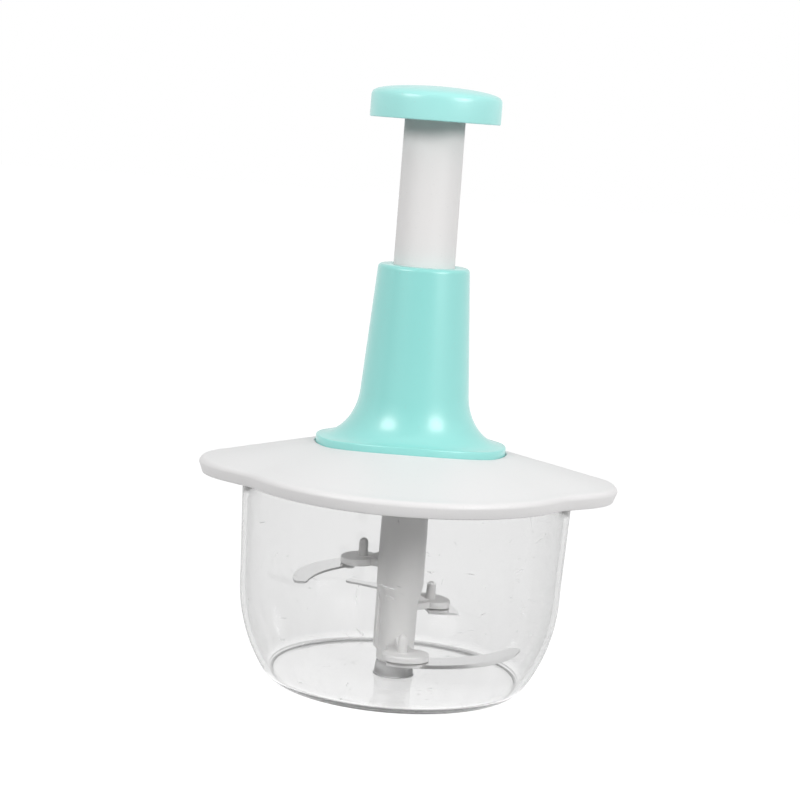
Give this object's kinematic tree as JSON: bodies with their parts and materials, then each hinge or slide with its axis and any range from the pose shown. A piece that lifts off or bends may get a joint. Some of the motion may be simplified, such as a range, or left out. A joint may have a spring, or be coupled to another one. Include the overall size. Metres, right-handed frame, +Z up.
{
  "type": "hand food chopper",
  "caption": "Hand-pressed food chopper with a clear bowl, a lid with side ears, a push knob on a tall tower and curved blades on a central shaft.",
  "frame": {"origin": "centre of the bowl's foot, on the surface that it stands on", "axes": "+Z up along the shaft and the plunger, +X and -X through the lid's two ears, -Y to the front"},
  "size_m": [0.192, 0.158, 0.2728],
  "materials": {
    "clear_bowl": "clear, polished, with light wear",
    "mint_plastic": "glossy",
    "white_plastic": "satin",
    "grey_plastic": "satin",
    "bearing_plastic": "smooth, natural colour",
    "seal_rubber": "soft, matt",
    "blade_steel": "polished, with a ground edge",
    "plain_steel": "plain"
  },
  "bodies": {
    "base": {"bowl": "clear_bowl", "pivot_pin": "plain_steel"},
    "blade_unit": {"blade_shaft": "grey_plastic", "shaft_bush": "bearing_plastic", "blade_upper": "blade_steel", "blade_middle": "blade_steel", "blade_lower": "blade_steel"},
    "head": {"lid_shell": "white_plastic", "lid_seal": "seal_rubber", "bearing_plate": "white_plastic", "hub_bearing": "bearing_plastic", "tower_housing": "mint_plastic", "guide_bush": "bearing_plastic", "spring_seat": "bearing_plastic", "plate_screw_1": "plain_steel", "plate_screw_2": "plain_steel", "plate_screw_3": "plain_steel", "plate_screw_4": "plain_steel"},
    "drive": {"drive_hub": "grey_plastic", "twisted_strip": "plain_steel", "strip_pin": "plain_steel", "hub_clip": "plain_steel"},
    "plunger": {"plunger_tube": "grey_plastic", "knob": "mint_plastic", "drive_nut": "bearing_plastic", "nut_pin_left": "plain_steel", "nut_pin_right": "plain_steel", "knob_screw": "plain_steel", "return_spring": "plain_steel"}
  },
  "joints": [
    {"name": "blade_spin", "type": "hinge", "parent": "base", "child": "blade_unit", "pos_m": [0, 0, 0.03], "axis": [0, 0, -1], "range_deg": [0, 645]},
    {"name": "lid_lift", "type": "slide", "parent": "base", "child": "head", "axis": [0, 0, 1], "range_m": [0, 0.12]},
    {"name": "drive_spin", "type": "hinge", "parent": "head", "child": "drive", "pos_m": [0, 0, 0.1], "axis": [0, 0, -1], "range_deg": [0, 645]},
    {"name": "plunger_press", "type": "slide", "parent": "head", "child": "plunger", "axis": [0, 0, -1], "range_m": [0, 0.057], "stiffness_N_per_m": 200, "springref_m": -0.03, "deforming": ["return_spring"]}
  ],
  "couplings": [
    {"joint": "drive_spin", "follows": "plunger_press", "rad_per_m": 196.35},
    {"joint": "blade_spin", "follows": "plunger_press", "rad_per_m": 196.35}
  ]
}
